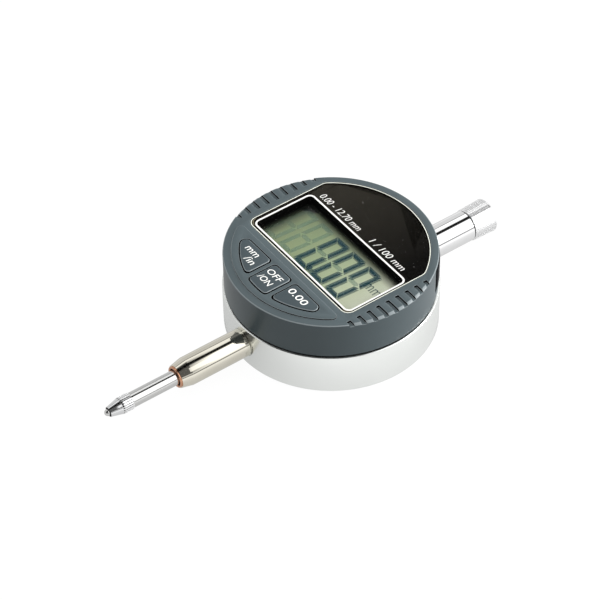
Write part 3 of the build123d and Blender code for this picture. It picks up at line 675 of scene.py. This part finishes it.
def makeStemBush():
    # bronze bush with a thin lip round a throat darkened by painted shade
    look = bushLook
    low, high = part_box("stem_bush")
    spindleLow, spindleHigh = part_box("spindle")
    bore = (spindleHigh.x - spindleLow.x) / 2 + look["gap"] * mm
    flange, body, size = look["flange"] * mm, look["body"] * mm, look["round"] * mm
    mouth = low.y + look["flangeDepth"] * mm
    profile = [(bore, high.y), (body, high.y), (body, mouth), (flange, mouth)]
    profile += roundedEdge(flange - size, low.y + size, size, 0, -90)
    profile += [(look["lip"] * mm, low.y), (look["lip"] * mm - size, low.y + size),
                (bore, low.y + look["throat"] * mm)]

    def shaded(c, n):
        # painted shade on the throat inside the lip
        out = math.hypot(c.x, c.z - axisHeight / mm)
        return 1.0 if out < look["lip"] - look["lipEdge"] else 0.0

    bush = turned("stemBush", profile)
    paintFaces(bush, "recess", shaded)
    addPiece("stemBush", bush, "bushBronze", "housing", ("stem_bush",))


def makeSpindleLine():
    makeLiftingCap()
    makeContact()
    softened("spindle", "spindleRod", "groundSteel", "spindle_group", 0)
    softened("stem", "clampingStem", "nickelSteel", "housing", 0)
    makeStemBush()
    softened("upper_sleeve", "upperSleeve", "brightChrome", "housing", 0)
    print("spindle line ready")


makeSpindleLine()


# case, cover, bezel and keys

edgeLooks = {"bezel": 0.09, "case": 0.06, "cover": 0.08, "key": 0.10, "drawer": 0.35, "screw": 0.05}
bezelLook = {"grooveRise": 0.04, "grooveFrom": 23.5, "sideFrom": 24.0, "rim": 28.4, "wall": 28.75,
             "landReach": 12.0, "landTop": 28.15, "landFoot": 23.55, "lensDrop": 0.1,
             "levelRoom": 0.2, "levelFine": 0.01, "grooveLow": 23.3, "grooveHigh": 24.0, "deckHigh": 23.95}
# how far a face's normal leans, as shares of its length
leanLook = {"under": -0.2, "deckSide": 0.7, "grooveSide": 0.9, "grooveWall": 0.5, "rimWall": 0.6,
            "keySide": 0.5, "edgeLow": 0.3, "edgeHigh": 0.97, "upright": 0.02}
wornHighlightAbove = 22.5


def bezelDepth(c, n):
    # whether a face of the bezel lies in the shade, 1 for painted shade, 0 for none
    look, lean = bezelLook, leanLook
    out = math.hypot(c.x, c.y)
    if n.z < lean["under"]:
        return 1.0
    atSide = abs(c.x) > look["sideFrom"]
    if atSide and look["grooveLow"] < c.z < look["grooveHigh"] and abs(n.z) < lean["grooveSide"]:
        if abs(n.y) + n.x * c.x / out > lean["grooveWall"]:
            # walls of the rim's grooves
            outward = (n.x * c.x + n.y * c.y) / out
            return 0.0 if outward > lean["rimWall"] and out > look["rim"] else 1.0
    if out > look["rim"]:
        return 0.0
    if abs(n.z) < lean["deckSide"]:
        return 1.0
    return 1.0 if c.z < look["deckHigh"] and abs(c.x) < look["sideFrom"] else 0.0


def keyDepth(c, n):
    # painted shade on the side walls of the key caps
    return 1.0 if abs(n.z) < leanLook["keySide"] else 0.0


def edgeWearAndHighlight(c, n):
    # the broken edges round the upper faces, lighter partly as wear, partly as painted highlight
    return 1.0 if leanLook["edgeLow"] < n.z < leanLook["edgeHigh"] and c.z > wornHighlightAbove else 0.0


def bezelMesh():
    # the grooves' floors a little higher, and the lands between them ending in a wide chamfer
    look = bezelLook
    mesh = mergedCopy("bezel_housing")
    level, room, fine = look["grooveFrom"] * mm, look["levelRoom"] * mm, look["levelFine"] * mm
    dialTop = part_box("display_lens")[1].z + look["lensDrop"] * mm
    for point in mesh.vertices:
        x, y, z = point.co
        out = math.hypot(x, y)
        if abs(x) < look["sideFrom"] * mm:
            continue
        if level - room < z < level:
            point.co.z += look["grooveRise"] * mm
        if out < look["rim"] * mm or abs(y) > look["landReach"] * mm:
            continue
        if dialTop - fine < z < dialTop + fine:
            point.co.x = math.copysign(math.sqrt((look["landTop"] * mm) ** 2 - y * y), x)
        elif level + room < z < dialTop - fine:
            point.co.z = look["landFoot"] * mm
    return mesh


def roundWall(mesh, radius):
    # normals of the round outer wall point straight out
    normals = [(0.0, 0.0, 0.0)] * len(mesh.loops)
    for face in mesh.polygons:
        corners = [mesh.vertices[v].co for v in face.vertices]
        nearest = min(math.hypot(c.x, c.y) for c in corners)
        if abs(face.normal.z) < leanLook["upright"] and nearest > radius * mm:
            for loop, c in zip(face.loop_indices, corners):
                normals[loop] = Vector((c.x, c.y, 0)).normalized()
    mesh.normals_split_custom_set(normals)


def makeHousing():
    softened("case", "caseRing", "caseMetal", "housing", edgeLooks["case"])
    softened("back_cover", "backCover", "coverMetal", "housing", edgeLooks["cover"])
    softened("case_screws", "caseScrews", "screwSteel", "housing", edgeLooks["screw"])
    bezel = softened("bezel_housing", "bezelHousing", "slatePlastic", "housing",
                     edgeLooks["bezel"], mesh=bezelMesh()).data
    paintFaces(bezel, "recess", bezelDepth)
    paintFaces(bezel, "worn", edgeWearAndHighlight)
    roundWall(bezel, bezelLook["wall"])
    for key in ("unit_key", "power_key", "zero_key"):
        cap = softened(key, key.split("_")[0] + "KeyCap", "keyPlastic", key + "_body",
                       edgeLooks["key"]).data
        paintFaces(cap, "recess", keyDepth)
        paintFaces(cap, "worn", edgeWearAndHighlight)
    softened("battery_drawer", "batteryDrawer", "drawerPlastic", "drawer_group",
             edgeLooks["drawer"], 3)
    print("housing ready")


makeHousing()


# prints and legends

def flatPlate(name, loops, low, high):
    # thin plate from outlines in metres, each a list of (x, y) points going round
    shape = bmesh.new()
    for loop in loops:
        bottom = [shape.verts.new((x, y, low)) for x, y in loop]
        top = [shape.verts.new((x, y, high)) for x, y in loop]
        shape.faces.new(top)
        shape.faces.new(bottom[::-1])
        for i in range(len(loop)):
            j = (i + 1) % len(loop)
            shape.faces.new((bottom[i], bottom[j], top[j], top[i]))
    return closedMesh(name, shape)


def bandPlate(name, outer, inner, low, high, closed=True):
    # thin band between two lines with as many points each
    shape = bmesh.new()
    rows = []
    for line, z in ((outer, low), (outer, high), (inner, high), (inner, low)):
        rows.append([shape.verts.new((x, y, z)) for x, y in line])
    count = len(outer)
    for here, there in zip(rows, rows[1:] + rows[:1]):
        for i in range(count if closed else count - 1):
            j = (i + 1) % count
            shape.faces.new((here[i], here[j], there[j], there[i]))
    if not closed:
        for end in (0, -1):
            shape.faces.new([row[end] for row in rows])
    mesh = closedMesh(name, shape)
    shadeByAngle(mesh)
    return mesh


def holedPlate(name, outer, hole, low, high):
    # plate with one opening
    shape = bmesh.new()
    edges = []
    for loop in (outer, hole):
        points = [shape.verts.new((x, y, low)) for x, y in loop]
        edges += [shape.edges.new((a, b)) for a, b in zip(points, points[1:] + points[:1])]
    filled = bmesh.ops.triangle_fill(shape, edges=edges, use_beauty=True)["geom"]
    faces = [item for item in filled if isinstance(item, bmesh.types.BMFace)]
    raised = bmesh.ops.extrude_face_region(shape, geom=faces)["geom"]
    bmesh.ops.translate(shape, verts=[v for v in raised if isinstance(v, bmesh.types.BMVert)],
                        vec=(0, 0, high - low))
    return closedMesh(name, shape)


def topOutline(node):
    # outline of a node's top face, in metres, going round
    mesh = mergedCopy(node)
    top = max((face for face in mesh.polygons if face.normal.z > 0.9), key=lambda face: face.area)
    return [(mesh.vertices[v].co.x, mesh.vertices[v].co.y) for v in top.vertices]


def insetLine(loop, inset):
    # the closed outline moved inwards by this many metres
    moved = []
    for before, (x, y), after in zip(loop[-1:] + loop[:-1], loop, loop[1:] + loop[:1]):
        along = (Vector(after) - Vector(before)).normalized()
        moved.append((x - along.y * inset, y + along.x * inset))
    return moved


def roundedRectangle(x0, x1, y0, y1, corner, steps=8):
    points = []
    for cx, cy, start in ((x1 - corner, y1 - corner, 0), (x0 + corner, y1 - corner, 90),
                          (x0 + corner, y0 + corner, 180), (x1 - corner, y0 + corner, 270)):
        for step in range(steps + 1):
            a = math.radians(start + 90 * step / steps)
            points.append((cx + corner * math.cos(a), cy + corner * math.sin(a)))
    return points


panelLook = {"left": -20.88, "right": 20.88, "low": -9.88, "high": 8.66, "corner": 1.35, "line": 0.5,
             "lineRise": 0.10, "thick": 0.02, "edge": 0.2, "innerEdge": (0.52, 0.64), "innerBelow": 9.0,
             "maskInset": 0.03}
dustLook = {"places": ((-1.5, 23.3), (-4.3, 21.0), (4.3, 20.6), (3.5, 18.7), (-2.6, 14.7), (17.4, 14.3),
                       (18.4, 13.6), (8.6, 17.4), (10.9, 19.0), (-9.5, 17.8), (6.2, 13.4), (12.6, 15.2)),
            "size": 0.055, "spread": (0.5, 1.2), "flat": 0.3, "rise": 0.01, "seed": 7}


def makePanel():
    # clear panel, the print under it, its edges in painted highlight and reflection, the line round the
    # window
    look = panelLook
    outline = topOutline("display_lens")
    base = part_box("display_mask")[0].z
    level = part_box("display_mask")[1].z
    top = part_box("display_lens")[1].z
    thick, w = look["thick"] * mm, look["line"]
    inner = roundedRectangle(look["left"], look["right"], look["low"], look["high"], look["corner"])
    outer = roundedRectangle(look["left"] - w, look["right"] + w, look["low"] - w, look["high"] + w,
                             look["corner"] + w)
    inner, outer = ([(x * mm, y * mm) for x, y in loop] for loop in (inner, outer))
    mask = holedPlate("displayMask", insetLine(outline, look["maskInset"] * mm), inner, base, level)
    addPiece("displayMask", mask, "maskBlack", "housing", ("display_mask",))
    lens = flatPlate("displayLens", [outline], level, top)
    addPiece("displayLens", lens, "clearPanel", "housing", ("display_lens",))
    high = level + look["lineRise"] * mm
    line = bandPlate("windowLine", outer, inner, high - thick, high)
    addPiece("windowLine", line, "whiteInk", "housing")
    # painted highlight along the panel's edge
    edge = bandPlate("panelEdge", outline, insetLine(outline, look["edge"] * mm), top, top + thick)
    addPiece("panelEdge", edge, "rimInk", "housing")
    # tan band of painted reflection inside the edge, on the lower part
    first, second = ([p for p in insetLine(outline, inset * mm) if p[1] < look["innerBelow"] * mm]
                     for inset in look["innerEdge"])
    count = min(len(first), len(second))
    trim = bandPlate("panelInnerEdge", first[:count], second[:count], top, top + thick, False)
    addPiece("panelInnerEdge", trim, "tanInk", "housing")


def speckTree():
    # a flat speck, larger or smaller, on every point of the base mesh
    look = dustLook
    tree, graph, given = growingTree("specks", (("Size", "Float"), ("Seed", "Int")))
    speck = graph.node("MeshIcoSphere", None, {"Radius": given["Size"], "Subdivisions": 1})
    smallest, largest = look["spread"]
    spread = graph.node("FunctionNodeRandomValue", {"data_type": "FLOAT"},
                        {2: smallest, 3: largest, "Seed": given["Seed"]}).outputs[1]
    growOnPoints(graph, given, given["Geometry"], speck.outputs[0],
                 {"Scale": graph.vector(spread, spread, look["flat"])})
    return tree


def makeDust():
    look = dustLook
    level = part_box("display_lens")[1].z + look["rise"] * mm
    places = bpy.data.meshes.new("dustPlaces")
    places.from_pydata([(x * mm, y * mm, level) for x, y in look["places"]], [], [])
    dust = grownMesh(speckTree(), {"Size": look["size"] * mm, "Seed": look["seed"],
                                   "Material": materials["dustInk"]}, places)
    addPiece("panelDust", dust, "dustInk", "housing")


def placedText(words, size, x, y, level, italic=0.0, span=None, thick=0.012, bold=0.0):
    # words whose left end and foot are at (x, y), in millimetres, as wide as span, a mesh before it is placed
    curve = bpy.data.curves.new("words", "FONT")
    curve.body = words
    curve.size = size
    curve.shear = italic
    curve.offset = bold
    curve.extrude = thick
    curve.resolution_u = 4
    holder = linked("words", curve)
    mesh = plainMesh(holder)
    bpy.data.objects.remove(holder)
    left, right = (pick(v.co.x for v in mesh.vertices) for pick in (min, max))
    width = span / (right - left) if span else 1.0
    mesh.transform(Matrix.Translation((x, y, 0)) @ Matrix.Diagonal((width, 1, 1, 1))
                   @ Matrix.Translation((-left, 0, 0)))
    mesh.transform(Matrix.Translation((0, 0, level)) @ Matrix.Diagonal((mm, mm, mm, 1)))
    return mesh


# rows of words, left end, foot and width, and how high the label floats over the mask
legendLooks = {
    "label": {"size": 3.0, "italic": 0.2, "bold": -0.022,
              "rows": (("0.00 - 12.70 mm", -19.0, 10.1, 17.2), ("1 / 100 mm", 3.2, 10.1, 14.2))},
    "unit": {"size": 3.1, "italic": 0.12, "bold": 0.0,
             "rows": (("mm", -13.6, -18.4, 4.9), ("/in", -10.6, -21.0, 3.5))},
    "power": {"size": 2.75, "italic": 0.12, "bold": 0.0,
              "rows": (("OFF", -2.9, -19.0, 5.5), ("/ON", -2.9, -22.0, 5.0))},
    "zero": {"size": 2.9, "italic": 0.1, "bold": 0.008, "rows": (("0.00", 6.4, -18.8, 7.0),)},
}
labelRise = 0.08


def makeLegends():
    for key, look in legendLooks.items():
        if key == "label":
            body, label, level = "housing", "labelNumbers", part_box("display_mask")[1].z + labelRise * mm
        else:
            body, label, level = key + "_key_body", key + "Legend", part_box(key + "_key")[1].z
        rows = [placedText(words, look["size"], x, y, level, look["italic"], span, bold=look["bold"])
                for words, x, y, span in look["rows"]]
        addPiece(label, joinedMesh(label, rows), "whiteInk", body)
    print("legends ready")


makePanel()
makeDust()
makeLegends()


# display digits

digitLook = {"low": -8.1, "high": 6.2, "stroke": 1.35, "gap": 0.13, "slant": 4.0, "thick": 0.012,
             "places": ((-20.0, -14.6, "ghost"), (-13.1, -7.7, "ghost"), (-6.1, -0.6, "lit"),
                        (0.9, 6.4, "lit"), (7.9, 13.4, "lit")),
             "point": (-0.45, -7.6, 0.75), "shadowShift": (0.62, -0.45), "layerShare": 0.8,
             "unit": ("mm", 4.9, 13.9, 0.2), "unitSpan": 5.2}


def segmentOutlines(x0, x1):
    # seven mitred bars of one digit in its own upright box, the middle one last
    y0, y1, t, g = digitLook["low"], digitLook["high"], digitLook["stroke"], digitLook["gap"]
    middle = (y0 + y1) / 2
    half = t / 2
    top = [(x0 + g, y1), (x1 - g, y1), (x1 - t - g, y1 - t), (x0 + t + g, y1 - t)]
    foot = [(x0 + t + g, y0 + t), (x1 - t - g, y0 + t), (x1 - g, y0), (x0 + g, y0)]
    leftUp = [(x0, y1 - g), (x0 + t, y1 - t - g), (x0 + t, middle + half + g), (x0, middle + g)]
    leftDown = [(x0, middle - g), (x0 + t, middle - half - g), (x0 + t, y0 + t + g), (x0, y0 + g)]
    rightUp = [(x1 - t, y1 - t - g), (x1, y1 - g), (x1, middle + g), (x1 - t, middle + half + g)]
    rightDown = [(x1 - t, middle - half - g), (x1, middle - g), (x1, y0 + g), (x1 - t, y0 + t + g)]
    bar = [(x0 + half + g, middle), (x0 + t + g, middle + half), (x1 - t - g, middle + half),
           (x1 - half - g, middle), (x1 - t - g, middle - half), (x0 + t + g, middle - half)]
    return [top, foot, leftUp, leftDown, rightUp, rightDown, bar]


def leaned(loop, shift=(0.0, 0.0)):
    # slanted to the right about the foot of the digits, in metres
    lean = math.tan(math.radians(digitLook["slant"]))
    return [((x + lean * (y - digitLook["low"]) + shift[0]) * mm, (y + shift[1]) * mm) for x, y in loop]


def makeDigits():
    lit, ghost = [], []
    for x0, x1, state in digitLook["places"]:
        bars = segmentOutlines(x0, x1)
        (lit if state == "lit" else ghost).extend(bars[:6])
        ghost.append(bars[6])
    x, y, side = digitLook["point"]
    lit.append([(x - side, y), (x + side, y), (x + side, y + 2 * side), (x - side, y + 2 * side)])
    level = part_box("display_glass")[1].z
    thick = digitLook["thick"] * mm
    shift = digitLook["shadowShift"]
    layers = (("digitShadows", [leaned(loop, shift) for loop in lit], "shadowInk", 1),
              ("ghostDigits", [leaned(loop) for loop in ghost], "ghostInk", 2),
              ("litDigits", [leaned(loop) for loop in lit], "segmentInk", 3))
    for name, loops, material, layer in layers:
        top = level + (layer + digitLook["layerShare"]) * thick
        mesh = flatPlate(name, loops, level + layer * thick, top)
        addPiece(name, mesh, material, "housing")
    unit = placedText(*digitLook["unit"], level + 4 * thick, span=digitLook["unitSpan"])
    addPiece("displayUnit", unit, "segmentInk", "housing")
    print("display ready")


makeDigits()


# carried-over nodes


def makeSoftPieces():
    # the spring and the domes under the keys, each with a mesh of its own
    spring = softened("return_spring", "returnSpring", "springSteel", "housing", 0)
    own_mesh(spring)
    for key in ("unit", "power", "zero"):
        node = key + "_key_dome"
        dome = softened(node, key + "KeyDome", "blackRubber", "housing", 0)
        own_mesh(dome)
    print("soft pieces ready")


makeSoftPieces()

nodeFinishes = {
    "displayGreen": ("display_glass", "display_reflector"), "blackRubber": ("connector_strip",),
    "whitePlastic": ("display_carrier",), "boardLacquer": ("main_board", "scale_strip"),
    "screwSteel": ("board_screws", "rider_screw", "rail_screws"), "chipPlastic": ("board_chips",),
    "bushBronze": ("inner_bush", "upper_bush"), "riderAluminium": ("scale_rider",),
    "groundSteel": ("guide_pin", "guide_rail"), "cellSteel": ("button_cell",),
    "goldContact": ("negative_contact", "positive_contact"),
}
for finish, painted in nodeFinishes.items():
    for node in painted:
        giveMaterial(nodes[node], finish)
print("carried-over nodes painted", sum(len(painted) for painted in nodeFinishes.values()))


# floor, light and camera

studioLook = {
    "floorSize": 4.0, "floorDrop": 0.05, "seenFloor": 0.955, "paper": 0.05, "nearReach": 0.25,
    # what gloss mirrors of the floor near the object and far from it, and what dull surfaces get from it
    "floorNear": 0.52, "floorFar": 0.95, "floorRight": 0.30, "rightReach": 0.04, "floorDull": 0.06,
    # light from the tent round the spindle line: angle from straight up towards the right, and strength
    "tent": ((-180, 0.75), (-92, 0.75), (-70, 0.70), (-50, 0.72), (-47, 0.2), (-44, 0.2), (-41, 1.2),
             (-20, 1.2), (-14, 0.9), (-12, 0.01), (6, 0.01), (9, 0.6), (16, 2.0), (60, 2.0), (72, 1.4),
             (78, 0.9), (80, 0.14), (83, 0.14), (86, 0.95), (130, 0.85), (180, 0.75)),
    # dark side towards the camera, which only gloss sees
    "dark": ((-180, 0), (-32, 0), (-22, 1), (68, 1), (78, 0), (180, 0)), "darkTop": 0.27, "darkSoft": 0.14,
    "darkDepth": 0.94,
    # lighter part of it, placed for the taper of the stem
    "light": ((-180, 0), (25, 0), (30, 1), (57, 1), (61, 0), (180, 0)), "lightLow": -0.01, "lightSoft": 0.03,
    "lightDepth": 0.5,
    "skyLow": 0.25, "skyHigh": 2.15,
    "paperGrain": 30.0, "paperSpread": 1.04, "lightAim": (0, 0, 0.012),
    "lights": (("rightWindow", (0.62, 0.76, 0.18), 0.55, 14.0),)}


def makeFloor():
    # white paper; what the object mirrors of it is shaded near the object and brighter to the right
    look = studioLook
    half = look["floorSize"] / 2
    mesh = bpy.data.meshes.new("floor")
    low = -look["floorDrop"] * mm
    corners = ((-half, -half), (half, -half), (half, half), (-half, half))
    mesh.from_pydata([(x, y, low) for x, y in corners], [], [(0, 1, 2, 3)])
    floor = linked("floor", mesh)
    paper = Finish("floorPaper")
    grain = paper.noise(look["paperGrain"])
    x, y, z = paper.axes()
    away = ((x * x + y * y).power(0.5) * mm / look["nearReach"]).clamped()
    right = (x * mm / look["rightReach"]).clamped()
    mirrored = look["floorNear"] + away * (look["floorFar"] - look["floorNear"]) + right * look["floorRight"]
    seen, gloss = paper.rays()
    glow = seen * look["seenFloor"] + gloss * mirrored + (1 - seen - gloss) * look["floorDull"]
    colour = paper.blend(grain, (look["paper"],) * 3, (look["paper"] * look["paperSpread"],) * 3)
    paper.set(Base_Color=colour, Roughness=1.0, Specular_IOR_Level=0.0, Emission_Color=(1.0, 1.0, 1.0),
              Emission_Strength=glow)
    mesh.materials.append(paper.material)


def ringStops(stops, scale=1.0):
    # ramp stops from angles round the spindle line
    return tuple((angle / 360 + 0.5, (strength * scale,) * 3) for angle, strength in stops)


def makeTent():
    # soft boxes and gaps between them, laid round the spindle line, and a plain sky for dull surfaces
    look = studioLook
    world = bpy.data.worlds.new("studio")
    bpy.context.scene.world = world
    world.use_nodes = True
    world.node_tree.nodes.clear()
    graph = Graph(world.node_tree)
    x, y, z = graph.split(graph.node("TexCoord").outputs["Generated"])
    turn = graph.number("Math", {"operation": "ARCTAN2"}, {0: x, 1: z}) / (2 * math.pi) + 0.5
    band = graph.number("ValToRGB", {"stops": ringStops(look["tent"], 0.5)}, {"Fac": turn}) * 2.0
    side = graph.number("ValToRGB", {"stops": ringStops(look["dark"])}, {"Fac": turn})
    facet = graph.number("ValToRGB", {"stops": ringStops(look["light"])}, {"Fac": turn})
    facet = ((y - look["lightLow"]) / look["lightSoft"]).clamped() * facet * look["lightDepth"]
    dark = ((look["darkTop"] - y) / look["darkSoft"]).clamped() * side * (look["darkDepth"] - facet)
    seen, gloss = graph.rays()
    sky = look["skyLow"] + (z.clamped() * z.clamped()) * look["skyHigh"]
    strength = seen + gloss * band * (1 - dark) + (1 - seen - gloss) * sky
    sight = graph.node("Background", None, {"Color": (1.0, 1.0, 1.0, 1.0), "Strength": strength})
    graph.node("OutputWorld", None, {"Surface": sight.outputs[0]})


def makeLights():
    for name, place, size, power in studioLook["lights"]:
        lamp = bpy.data.lights.new(name, "AREA")
        lamp.shape = "SQUARE"
        lamp.size = size
        lamp.energy = power
        holder = linked(name, lamp)
        holder.location = place
        holder.rotation_mode = "QUATERNION"
        holder.rotation_quaternion = (Vector(place) - Vector(studioLook["lightAim"])).to_track_quat("Z", "Y")
    bpy.context.scene.view_settings.view_transform = "Standard"
    bpy.context.scene.view_settings.look = "None"


cameraLook = {"target": (0.614, -10.758, 11.953), "azimuth": 54.964, "elevation": 44.831, "roll": -1.174,
              "distance": 642.65, "lens": 144.53}


def makeCamera():
    look = cameraLook
    a, e = math.radians(look["azimuth"]), math.radians(look["elevation"])
    back = Vector((math.sin(a) * math.cos(e), -math.cos(a) * math.cos(e), math.sin(e)))
    data = bpy.data.cameras.new("camera")
    data.lens = look["lens"]
    data.sensor_width = 36.0
    data.clip_start, data.clip_end = 0.01, 10.0
    camera = linked("camera", data)
    camera.rotation_mode = "QUATERNION"
    camera.location = (Vector(look["target"]) + back * look["distance"]) * mm
    turn = (-back).to_track_quat("-Z", "Y")
    camera.rotation_quaternion = turn @ Matrix.Rotation(math.radians(look["roll"]), 3, "Z").to_quaternion()
    bpy.context.scene.camera = camera


makeFloor()
makeTent()
makeLights()
makeCamera()
print("studio ready")
